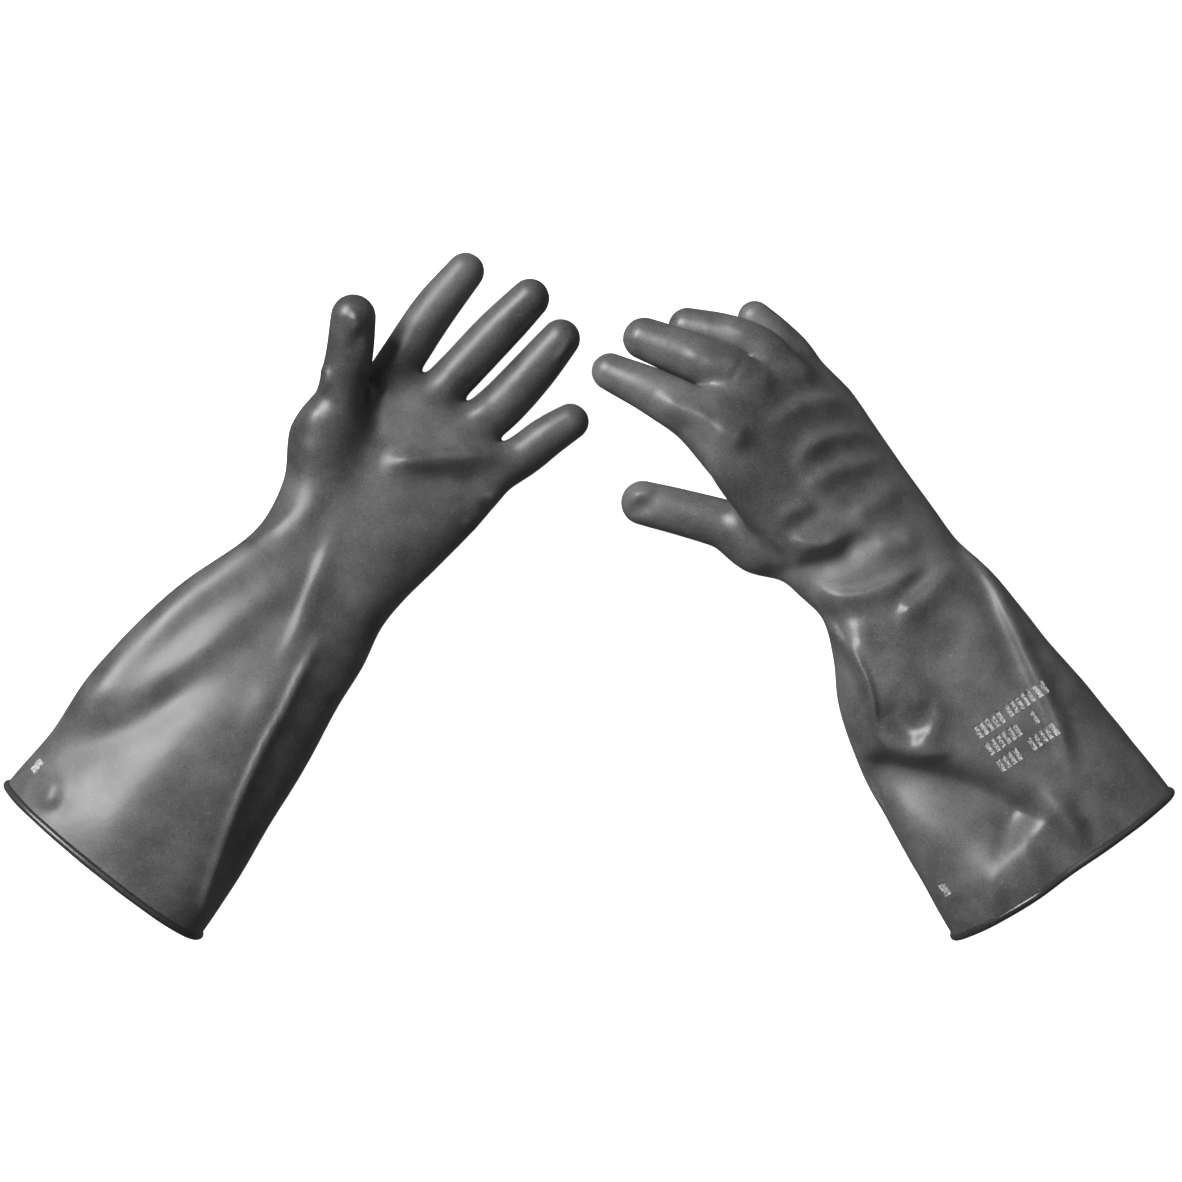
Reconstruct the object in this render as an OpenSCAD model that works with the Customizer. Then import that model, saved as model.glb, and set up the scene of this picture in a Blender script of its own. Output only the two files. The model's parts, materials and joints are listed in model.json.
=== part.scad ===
// A pair of long dipped rubber gauntlets for electrical work, as they lie on a table:
// the left hand palm up and the right hand back up, rolled onto its little-finger side.
// Each glove is one moulded skin with a rolled rim. The skin is divided at the lines where
// it flexes, so that the wrist, the thumb and the fingers can be posed.
// Each glove is drawn with its wrist at the origin, its fingers along +Y, its thumb at -X
// and +Z up from the table, and is then turned and moved to its place.

/* [Skin] */
// Thickness of the rubber wall
wall = 1.6; // [1.2:0.1:2.2]
// Diameter of the rolled bead around the rim
bead_d = 5; // [4:0.5:6]
// Height of the printed marks above the skin
print_h = 0.4; // [0.3:0.1:0.6]

/* [Cuffs] */
// Length of the left cuff, from the wrist to the rim
left_cuff_len = 197; // [180:1:205]
// Width of the left cuff's oval mouth
left_mouth_w = 139; // [130:1:144]
// Height of the left cuff's mouth
left_mouth_h = 78; // [66:1:82]
// Length of the right cuff, from the wrist to the rim
right_cuff_len = 188; // [180:1:205]
// Width of the right cuff's mouth, which lies flatter
right_mouth_w = 148; // [140:1:154]
// Height of the right cuff's mouth
right_mouth_h = 66; // [60:1:74]

/* [Hands] */
// Width across the wrist
wrist_w = 90; // [84:1:94]
// Height of the wrist as it lies
wrist_h = 50; // [46:1:54]
// Diameter of the index, middle and ring fingers
finger_d = 23; // [21:0.5:24]
// Diameter of the little fingers
little_d = 21; // [19:0.5:22]
// Diameter of the thumbs
thumb_d = 27; // [25:0.5:28]

/* [Movement] */
// Swing of a wrist, to either side of rest
wrist_swing = 40; // [20:1:42]
// Bend of a finger at its root
root_bend = 60; // [30:1:62]
// Bend of a finger at its middle
mid_bend = 70; // [30:1:72]
// Bend of the thumb and the little finger at their roots
short_root_bend = 45; // [30:1:50]
// Bend of the thumb and the little finger at their middles
short_mid_bend = 55; // [30:1:60]
// Bend of a finger the other way
back_bend = 10; // [5:1:12]

/* [Hidden] */
SIDES = ["left", "right"];
DIGITS = ["thumb", "index", "middle", "ring", "little"];
ZONES = ["knuckle_flex", "base", "mid_flex", "tip"];
SHELLS = ["gauntlet", "cuff_bead", "wrist_flex", "hand"];
MARKS = ["left_size_mark", "right_size_mark", "right_label_bars"];

LEFT = 0;
RIGHT = 1;
THUMB = 0;
LITTLE = 4;

// Where each wrist stands on the table, and how far each glove is turned from +Y
wrist_at = [[-152.5, 11, 0], [169, 12, 0]];
turn = [-37, 34];

// Centres along each digit: in the palm, at the root hinge, at the middle hinge and in the tip
digit_path = [
    [[[-44, 66, 26], [-50, 88, 34], [-60, 111, 46], [-70, 131, 58]],
     [[-36, 114, 14], [-39, 137, 15], [-39, 163, 20], [-38, 187, 26]],
     [[-10, 118, 14], [-8, 145, 15], [-4, 173, 20], [0, 199, 27]],
     [[16, 116, 14], [21, 140, 15], [25, 164, 19], [28, 191, 24]],
     [[38, 106, 14], [49, 126, 14], [54, 142, 17], [59, 157, 20]]],
    [[[-48, 58, 22], [-58, 76, 21], [-74, 95, 19], [-90, 113, 17]],
     [[-33, 112, 54], [-40, 134, 56], [-51, 159, 51], [-66, 181, 39]],
     [[-6, 116, 48], [-10, 143, 49], [-23, 166, 45], [-40, 188, 34]],
     [[14, 115, 33], [14, 142, 33], [2, 163, 29], [-13, 181, 21]],
     [[29, 108, 14], [33, 131, 13], [30, 147, 13], [25, 163, 13]]],
];
// Hinge axes, which turn a digit towards the palm by the right-hand rule
finger_axis = [[1, 0, 0], [-0.74, -0.26, 0.62]];
thumb_axis = [[0.29, 0.56, -0.83], [0, 0, -1]];
wrist_axis = [[1, 0, 0], [-1, 0, 0]];
wrist_ahead = [0, 1, 0];

// Balls that fill out the palm and the ball of the thumb: [x, y, z, radius]
palm_balls = [
    [[-24, 44, 19, 22], [26, 44, 19, 22]],
    [[-22, 44, 29, 21], [21, 46, 18, 21]],
];
thenar_balls = [
    [[-26, 32, 24, 20], [-14, 56, 20, 20]],
    [[-24, 28, 24, 20], [-18, 60, 34, 20]],
];

finger_taper = [1.2, 1.04, 1, 0.96];
digit_d = [thumb_d, finger_d, finger_d, finger_d, little_d];

cuff_len = [left_cuff_len, right_cuff_len];
mouth_w = [left_mouth_w, right_mouth_w];
mouth_h = [left_mouth_h, right_mouth_h];
// How early each cuff flares, and how far its mouth stands off the wrist's line
flare = [0.62, 0.52];
drift = [-2, -8.5];
cuff_stations = [0, 0.08, 0.2, 0.35, 0.52, 0.68, 0.84, 1];
wrist_tube_len = 14;
// How far an oval section sinks below the table, where it lies flat instead
sag = 2;

notch_margin = 1.5;
notch_gap = 0.8;
swing_gap = 0.6;
swing_step = 5.5;
fit_gap = 0.05;
finger_reach = 30;
wrist_reach = 110;
oval_sides = 32;
ball_sides = 16;
slice = 0.2;
bead_steps = 36;
bead_sides = 8;
big = 600;

left_tone = "#3a3a3c";
right_tone = "#48484a";
flex_tone = "#2b2b2d";
bead_tone = "#1c1c1e";
print_tone = "#b8b8b8";
tone = [left_tone, right_tone];

function unit(v) = v / norm(v);
function digit_r(digit, at) = digit_d[digit] / 2 * finger_taper[at];
function is_short(digit) = digit == THUMB || digit == LITTLE;
function root_bend_of(digit) = is_short(digit) ? short_root_bend : root_bend;
function mid_bend_of(digit) = is_short(digit) ? short_mid_bend : mid_bend;
function axis_of(side, digit) = digit == THUMB ? thumb_axis[side] : finger_axis[side];
function cuff_w_at(side, t) = wrist_w + (mouth_w[side] - wrist_w) * pow(t, flare[side]);
function cuff_h_at(side, t) = wrist_h + (mouth_h[side] - wrist_h) * t;
function cuff_x_at(side, t) = drift[side] * sqrt(t);

// Puts a glove in its place on the table
module placed(side) {
    translate(wrist_at[side]) rotate([0, 0, turn[side]]) children();
}

// Puts a shape at a hinge, with its X along the axis, its Y ahead and its Z to the palm side
module at_hinge(centre, axis, ahead) {
    x = unit(axis);
    z = unit(cross(x, ahead));
    y = cross(z, x);
    multmatrix([
        [x[0], y[0], z[0], centre[0]],
        [x[1], y[1], z[1], centre[1]],
        [x[2], y[2], z[2], centre[2]],
        [0, 0, 0, 1],
    ]) children();
}

// The wedge of space ahead of a hinge that stays clear when the joint bends
module ahead_of_hinge(bend, back, gap, reach) {
    palm_cut = bend / 2 + notch_margin;
    back_cut = back / 2 + notch_margin;
    rotate([90, 0, 90]) linear_extrude(2 * reach, center = true) polygon([
        [gap, 0],
        [gap + reach * sin(palm_cut), reach * cos(palm_cut)],
        [3 * reach, reach * cos(palm_cut)],
        [3 * reach, -reach * cos(back_cut)],
        [gap + reach * sin(back_cut), -reach * cos(back_cut)],
    ]);
}

module behind_hinge(bend, back, gap, reach) {
    mirror([0, 1, 0]) ahead_of_hinge(bend, back, gap, reach);
}

module ball(centre, r) {
    translate(centre) sphere(r, $fn = ball_sides);
}

// One digit as a chain of tapering links, from the palm to its tip
module digit_chain(side, digit, first, last, inset) {
    path = digit_path[side][digit];
    for (at = [first : last - 1]) hull() {
        ball(path[at], digit_r(digit, at) - inset);
        ball(path[at + 1], digit_r(digit, at + 1) - inset);
    }
}

module digit_hinge(side, digit, at) {
    path = digit_path[side][digit];
    at_hinge(path[at], axis_of(side, digit), path[2] - path[1]) children();
}

module root_ahead(side, digit, gap = notch_gap) {
    digit_hinge(side, digit, 1)
        ahead_of_hinge(root_bend_of(digit), back_bend, gap, finger_reach);
}

module root_behind(side, digit, gap = notch_gap) {
    digit_hinge(side, digit, 1)
        behind_hinge(root_bend_of(digit), back_bend, gap, finger_reach);
}

module mid_ahead(side, digit, gap = notch_gap) {
    digit_hinge(side, digit, 2)
        ahead_of_hinge(mid_bend_of(digit), back_bend, gap, finger_reach);
}

module mid_behind(side, digit, gap = notch_gap) {
    digit_hinge(side, digit, 2)
        behind_hinge(mid_bend_of(digit), back_bend, gap, finger_reach);
}

module wrist_ahead_part(side, gap = notch_gap) {
    at_hinge([0, 0, wrist_h / 2], wrist_axis[side], wrist_ahead)
        ahead_of_hinge(wrist_swing, wrist_swing, gap, wrist_reach);
}

module wrist_behind_part(side, gap = notch_gap) {
    at_hinge([0, 0, wrist_h / 2], wrist_axis[side], wrist_ahead)
        behind_hinge(wrist_swing, wrist_swing, gap, wrist_reach);
}

// An upright oval slice across the glove
module oval(y, x, w, h, inset) {
    translate([x, y, h / 2 - sag]) rotate([90, 0, 0])
        linear_extrude(slice, center = true)
            scale([w / 2 - inset, h / 2 - inset]) circle(1, $fn = oval_sides);
}

module cuff_oval(side, t, inset) {
    oval(-t * cuff_len[side], cuff_x_at(side, t), cuff_w_at(side, t), cuff_h_at(side, t), inset);
}

module cuff_loft(side, inset) {
    for (i = [0 : len(cuff_stations) - 2]) hull() {
        cuff_oval(side, cuff_stations[i], inset);
        cuff_oval(side, cuff_stations[i + 1], inset);
    }
}

module wrist_tube(inset) {
    hull() {
        oval(0, 0, wrist_w, wrist_h, inset);
        oval(wrist_tube_len, 0, wrist_w, wrist_h, inset);
    }
}

// The palm, the ball of the thumb and the digits' roots, as one rounded form
module palm_form(side, inset) {
    hull() {
        oval(wrist_tube_len, 0, wrist_w, wrist_h, inset);
        for (b = palm_balls[side]) ball([b[0], b[1], b[2]], b[3] - inset);
        for (digit = [1 : 4]) ball(digit_path[side][digit][0], digit_r(digit, 0) - inset);
    }
    hull() {
        ball(digit_path[side][THUMB][0], digit_r(THUMB, 0) - inset);
        for (b = thenar_balls[side]) ball([b[0], b[1], b[2]], b[3] - inset);
    }
}

// Everything above a level, which flattens a form where it lies on the table
module above(level) {
    translate([-big / 2, -big / 2, level]) cube([big, big, big]);
}

module gauntlet_skin(side) {
    difference() {
        intersection() {
            cuff_loft(side, 0);
            wrist_behind_part(side);
            above(0);
        }
        intersection() {
            cuff_loft_open(side);
            above(wall);
        }
    }
}

// The cuff's hollow, carried on past the rim and the wrist so that both ends are open
module cuff_loft_open(side) {
    cuff_loft(side, wall);
    translate([0, -1, 0]) cuff_oval(side, 1, wall);
    wrist_tube(wall);
}

// The space that the thumb's lower half passes through as its root joint turns
module thumb_swing(side, grow) {
    root = digit_path[side][THUMB][1];
    for (angle = [-back_bend : swing_step : short_root_bend])
        translate(root) rotate(angle, axis_of(side, THUMB)) translate(-root)
            intersection() {
                digit_chain(side, THUMB, 1, 2, -grow);
                root_ahead(side, THUMB);
            }
}

// The web beside the thumb flexes as the thumb turns, so it goes with the thumb's flex ring
module thumb_web(side) {
    difference() {
        intersection() {
            hand_shell(side);
            thumb_swing(side, swing_gap - fit_gap);
        }
        digit_chain(side, THUMB, 0, 3, -fit_gap);
    }
}

module hand_skin(side) {
    difference() {
        hand_shell(side);
        thumb_swing(side, swing_gap);
    }
}

module hand_shell(side) {
    difference() {
        intersection() {
            union() {
                wrist_tube(0);
                palm_form(side, 0);
                for (digit = [0 : 4]) intersection() {
                    digit_chain(side, digit, 0, 2, 0);
                    root_behind(side, digit);
                }
            }
            wrist_ahead_part(side);
            above(0);
        }
        intersection() {
            union() {
                wrist_tube(wall);
                cuff_loft(side, wall);
                palm_form(side, wall);
                for (digit = [0 : 4]) digit_chain(side, digit, 0, 2, wall);
            }
            above(wall);
        }
    }
}

module wrist_flex_skin(side) {
    difference() {
        intersection() {
            union() {
                cuff_loft(side, 0);
                wrist_tube(0);
            }
            above(0);
        }
        intersection() {
            cuff_loft_open(side);
            above(wall);
        }
        wrist_behind_part(side, notch_gap - fit_gap);
        wrist_ahead_part(side, notch_gap - fit_gap);
    }
}

module digit_tube(side, digit, first, last) {
    difference() {
        digit_chain(side, digit, first, last, 0);
        digit_chain(side, digit, first, last, wall);
    }
}

module knuckle_flex_skin(side, digit) {
    if (digit == THUMB) thumb_web(side);
    difference() {
        digit_tube(side, digit, 0, 2);
        palm_form(side, -fit_gap);
        root_behind(side, digit, notch_gap - fit_gap);
        root_ahead(side, digit, notch_gap - fit_gap);
    }
}

module base_skin(side, digit) {
    intersection() {
        digit_tube(side, digit, 0, 3);
        root_ahead(side, digit);
        mid_behind(side, digit);
    }
}

module mid_flex_skin(side, digit) {
    difference() {
        digit_tube(side, digit, 1, 3);
        root_behind(side, digit, notch_gap - fit_gap);
        mid_behind(side, digit, notch_gap - fit_gap);
        mid_ahead(side, digit, notch_gap - fit_gap);
    }
}

module tip_skin(side, digit) {
    intersection() {
        digit_tube(side, digit, 0, 3);
        mid_ahead(side, digit);
    }
}

// The rolled rim: a round bead swept around the mouth's oval, flattened where it lies
function bead_centre(side, a) =
    let (w = mouth_w[side] - wall, h = mouth_h[side] - wall, lift = mouth_h[side] / 2 - sag)
    [cuff_x_at(side, 1) + w / 2 * cos(a), max(bead_d / 2, lift + h / 2 * sin(a))];
function bead_out(side, a) =
    unit([mouth_h[side] * cos(a), mouth_w[side] * sin(a)]);
function bead_point(side, i, j) =
    let (a = 360 * i / bead_steps, b = 360 * j / bead_sides, r = bead_d / 2)
    let (c = bead_centre(side, a), o = bead_out(side, a))
    let (y = -cuff_len[side] - slice / 2 - fit_gap - r + r * sin(b))
    [c[0] + r * cos(b) * o[0], y, max(0, c[1] + r * cos(b) * o[1])];

module bead_skin(side) {
    polyhedron(
        points = [for (i = [0 : bead_steps - 1]) for (j = [0 : bead_sides - 1])
            bead_point(side, i, j)],
        faces = [for (i = [0 : bead_steps - 1]) for (j = [0 : bead_sides - 1])
            let (i2 = (i + 1) % bead_steps, j2 = (j + 1) % bead_sides)
            let (n = bead_sides)
            each [[i * n + j, i2 * n + j, i2 * n + j2], [i * n + j, i2 * n + j2, i * n + j2]]]);
}

// Printed marks: plain bars and no lettering, laid on the cuff's skin
label_rows = [[[-8, 13], [9, 15], [29, 18]], [[-11, 14], [9, 17]], [[-8, 16], [14, 20]]];
label_at = [4, -96];
label_pitch = 11.5;
bar_h = 6;

module printed_on(side) {
    difference() {
        intersection() {
            cuff_loft(side, -print_h);
            linear_extrude(big) children();
            translate([-big / 2, -big / 2, mouth_h[side] / 3]) cube(big);
        }
        cuff_loft(side, -fit_gap);
    }
}

module bar(x, y, w, h) {
    translate([x, y]) square([w, h], center = true);
}

module label_bars() {
    for (row = [0 : len(label_rows) - 1]) for (b = label_rows[row])
        bar(label_at[0] + b[0], label_at[1] - row * label_pitch, b[1], bar_h);
}

module left_size_mark() {
    color(print_tone) placed(LEFT) printed_on(LEFT) {
        bar(-60, -176, 4, 8);
    }
}

module right_size_mark() {
    color(print_tone) placed(RIGHT) printed_on(RIGHT) {
        bar(-72, -160, 4, 8);
    }
}

module right_label_bars() {
    color(print_tone) placed(RIGHT) printed_on(RIGHT) label_bars();
}

module gauntlet(side) { color(tone[side]) placed(side) gauntlet_skin(side); }
module cuff_bead(side) { color(bead_tone) placed(side) bead_skin(side); }
module wrist_flex(side) { color(flex_tone) placed(side) wrist_flex_skin(side); }
module hand(side) { color(tone[side]) placed(side) hand_skin(side); }
module knuckle_flex(side, digit) { color(flex_tone) placed(side) knuckle_flex_skin(side, digit); }
module base(side, digit) { color(tone[side]) placed(side) base_skin(side, digit); }
module mid_flex(side, digit) { color(flex_tone) placed(side) mid_flex_skin(side, digit); }
module tip(side, digit) { color(tone[side]) placed(side) tip_skin(side, digit); }

for (side = [LEFT, RIGHT]) {
    gauntlet(side);
    cuff_bead(side);
    wrist_flex(side);
    hand(side);
    for (digit = [THUMB : LITTLE]) {
        name = str(SIDES[side], "_", DIGITS[digit]);
        knuckle_flex(side, digit);
        base(side, digit);
        mid_flex(side, digit);
        tip(side, digit);
    }
}
left_size_mark();
right_size_mark();
right_label_bars();
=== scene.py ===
import json
import math

import bpy
import numpy as np
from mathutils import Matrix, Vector
from mathutils.bvhtree import BVHTree


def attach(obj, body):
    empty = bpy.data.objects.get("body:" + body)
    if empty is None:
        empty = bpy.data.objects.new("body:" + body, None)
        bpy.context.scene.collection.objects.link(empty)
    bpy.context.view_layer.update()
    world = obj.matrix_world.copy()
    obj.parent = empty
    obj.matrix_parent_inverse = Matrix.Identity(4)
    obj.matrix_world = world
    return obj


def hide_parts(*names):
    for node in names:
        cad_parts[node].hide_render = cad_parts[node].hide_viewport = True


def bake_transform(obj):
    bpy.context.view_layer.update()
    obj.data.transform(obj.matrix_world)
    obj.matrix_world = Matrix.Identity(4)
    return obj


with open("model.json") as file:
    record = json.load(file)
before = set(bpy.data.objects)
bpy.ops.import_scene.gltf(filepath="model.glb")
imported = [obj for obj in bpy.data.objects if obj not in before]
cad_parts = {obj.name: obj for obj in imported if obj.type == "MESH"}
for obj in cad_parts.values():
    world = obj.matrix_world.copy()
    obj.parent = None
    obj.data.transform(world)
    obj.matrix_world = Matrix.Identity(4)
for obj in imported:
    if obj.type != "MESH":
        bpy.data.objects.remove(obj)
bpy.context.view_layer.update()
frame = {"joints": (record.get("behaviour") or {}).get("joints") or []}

# Lengths below are millimetres in a glove's own axes: the origin on the floor under the wrist
# crease, +Y towards the fingers, +X towards the little finger, +Z up.
MM = 0.001
JOINTS = {j["name"]: j for j in frame["joints"]}
# Spacing of the grid that the skin is cut from.
SPACING = 1.5
# The box round a glove that the grid fills. Its lowest y comes from the mouth.
BOX_X = (-108.0, 88.0)
BOX_TOP_Y = 214.0
BOX_Z = (-3.0, 92.0)
# The grid layer, counted from the lowest, whose points form the mouth's rim.
RIM_LAYER = 2
# Thickness of the rubber, and radius of the rolled edge.
WALL = 1.6
BEAD_R = 2.4
FINGERS = ("index", "middle", "ring", "little")
DIGITS = ("thumb", *FINGERS)
# Radii of each digit at its palm end, root hinge, middle hinge and tip.
RADII = {
    "left": {
        "thumb": (17.0, 14.6, 13.4, 12.6),
        "index": (13.4, 13.0, 12.5, 10.8),
        "middle": (13.2, 12.9, 12.8, 11.2),
        "ring": (13.8, 13.8, 13.2, 11.2),
        "little": (13.2, 12.3, 11.8, 10.2),
    },
    "right": {
        "thumb": (15.5, 14.2, 13.4, 12.6),
        "index": (15.5, 15.0, 13.2, 10.6),
        "middle": (14.6, 14.0, 13.8, 12.0),
        "ring": (14.0, 13.4, 13.2, 11.0),
        "little": (12.6, 11.6, 11.2, 9.8),
    },
}
# Where the gauntlet's skin ends and the hand's begins, and two y values and a height across the wrist, at
# which points are worked out that nothing uses.
CUFF_SPLIT_Y = -26.0
WRIST_BLEND = (-20.0, 20.0)
WRIST_MID_Z = 25.0

# Palm end and tip ball centre of every digit, and how far the middle of the skin lies from the
# root hinge and the middle hinge, which come from the frame.
ENDS = {
    "left": {
        "thumb": ((-44, 66, 26), (0, 0, 0), (0, 0, -4), (-71, 130.5, 48)),
        "index": ((-38, 112, 14), (-0.5, 0, 0), (-1.5, 0, -1), (-39, 190, 23)),
        "middle": ((-12, 114, 14), (0, 0, 0), (-0.5, 0, -1), (-0.5, 199.5, 24)),
        "ring": ((15, 112, 14), (1, 0, 0), (0, 0, 0), (27, 192, 22)),
        "little": ((39, 102, 14), (0, 0, 0), (-0.5, 0, 0), (59.5, 158, 19)),
    },
    "right": {
        "thumb": ((-48, 58, 22), (0, 0, 0), (0, 0, 0), (-90, 113, 17)),
        "index": ((-36, 104, 46), (0, 0, -2), (-0.5, 0, 1), (-65.5, 183, 47)),
        "middle": ((-9, 112, 39), (0, 0, -1), (-1, 0, 1), (-39, 188, 42)),
        "ring": ((12, 111, 27), (-1, 0, 0), (-1, 0, 1), (-14, 181, 27)),
        "little": ((26, 102, 15), (-5, 0, 0), (-4, 0, 0), (22, 165, 13)),
    },
}
# How far along the digit, from its root hinge, the digit's own skin starts.
ROOT_CUT = {
    "left": {"thumb": 1, "index": -3, "middle": -5, "ring": -5, "little": 1},
    "right": {"thumb": 0, "index": 9, "middle": 9, "ring": 7, "little": 4},
}
# Where a digit's base gives way to its tip, as a share of the way from the root hinge to the
# middle hinge.
MIDDLE_CUT = 0.72
# Two spans along a digit, at whose ends points are worked out that nothing uses: one from a little past
# ROOT_CUT to a share of that way, and one from another share of it to a little past the middle hinge.
ROOT_BEND_START = 1
ROOT_BEND_END = 0.7
MIDDLE_BEND_START = 0.74
MIDDLE_BEND_PAST = 8
# A point of the skin belongs to a digit only when it is this close to the digit's own surface.
DIGIT_REACH = 4.0
# Spacing of the balls that make up a digit.
BALL_SPACING = 4.5
# Numbers of the pieces of a glove's skin. Those of the digits follow.
GAUNTLET = 0
HAND = 1
# Cross sections from the mouth to the knuckles: y, centre x, half width, centre z, half height,
# roll in degrees.
SECTIONS = {
    "left": (
        (-197, -1.5, 71, 36, 36, -13),
        (-190, -1.5, 70.7, 36, 35.7, -13),
        (-160, -1.2, 68.5, 34.5, 34.5, -13),
        (-120, -3, 65.5, 32.5, 33, -12),
        (-80, -3, 60.7, 30, 30.5, -10),
        (-50, -2.5, 55.2, 27, 28.5, -7),
        (-25, -0.5, 50.2, 25, 27, -3),
        (0, -0.5, 45, 23, 25, 0),
        (20, 0, 45.5, 22, 24, 0),
        (45, 0, 49, 20, 22.5, 0),
        (70, 1.5, 50.5, 18, 20, 0),
        (95, 2, 52, 16.5, 17.5, 0),
        (118, 2, 51, 15, 15, 0),
        (136, 2, 50, 14.5, 13.5, 0),
    ),
    "right": (
        (-188, -8.5, 74, 31, 33, 0),
        (-181, -8.5, 73.6, 31, 33, 0),
        (-150, -8.5, 71, 31, 33, 0),
        (-115, -8.5, 68, 30.5, 32.5, 0),
        (-75, -8.5, 63.5, 29.5, 31.5, 3),
        (-40, -4.5, 57, 27.5, 30, 6),
        (-20, -1, 50, 26.5, 28, 10),
        (0, 1, 45, 26, 26, 14),
        (25, -1, 47, 27, 25, 18),
        (50, -1.5, 49, 29, 23, 25),
        (80, -3.5, 53.5, 33, 20, 30),
        (105, -4.5, 54, 37.5, 17.5, 31),
        (122, -6, 50, 41, 16, 31),
        (138, -8, 47, 42, 14.5, 31),
        (152, -10, 45, 41.5, 13, 31),
    ),
}
# Exponent of the cross sections: 2 is an ellipse, more is squarer.
SQUARENESS = 2.25
# Knuckle line: y at its crest, x of the crest, and how fast it falls away to the sides.
KNUCKLE_LINE = {"left": (130, -2, 0.0055), "right": (145, -26, 0.0055)}
# Round swellings under the skin: start, radius, end, radius.
SWELLS = {
    "left": (((-22, 28, 24), 20, (-44, 66, 26), 17),),
    "right": (
        ((-24, 26, 24), 18, (-44, 58, 23), 16),
        ((-38, 127, 48), 10.5, (-10, 132, 42), 10.5),
        ((-10, 132, 42), 10.5, (13, 129, 27), 10.0),
        ((12, 125, 26), 9.0, (27, 115, 13), 8.5),
    ),
}
# The swellings and the digits matter only above this y, and a digit only within this distance.
HAND_FROM_Y = -30.0
FAR = 32.0
# Widths over which shapes run into each other: the palm's end, the swellings, the fingers with the
# palm, and the thumb, which joins widely at its root and closely further along.
KNUCKLE_BLEND = 18
SWELL_BLEND = 12
WEB_BLEND = 6.0
THUMB_BLEND = (18, 5)
THUMB_BLEND_SPAN = (-5, 20)
# Half the gap that is kept between two fingers side by side.
FINGER_GAP = 0.8
# How high the skin is held off the floor at the mouth, how far from the mouth that fades away, and
# how roundly the skin meets the floor.
MOUTH_LIFT = 1.6
MOUTH_LIFT_LENGTH = 25
FLOOR_BLEND = 4

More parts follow.
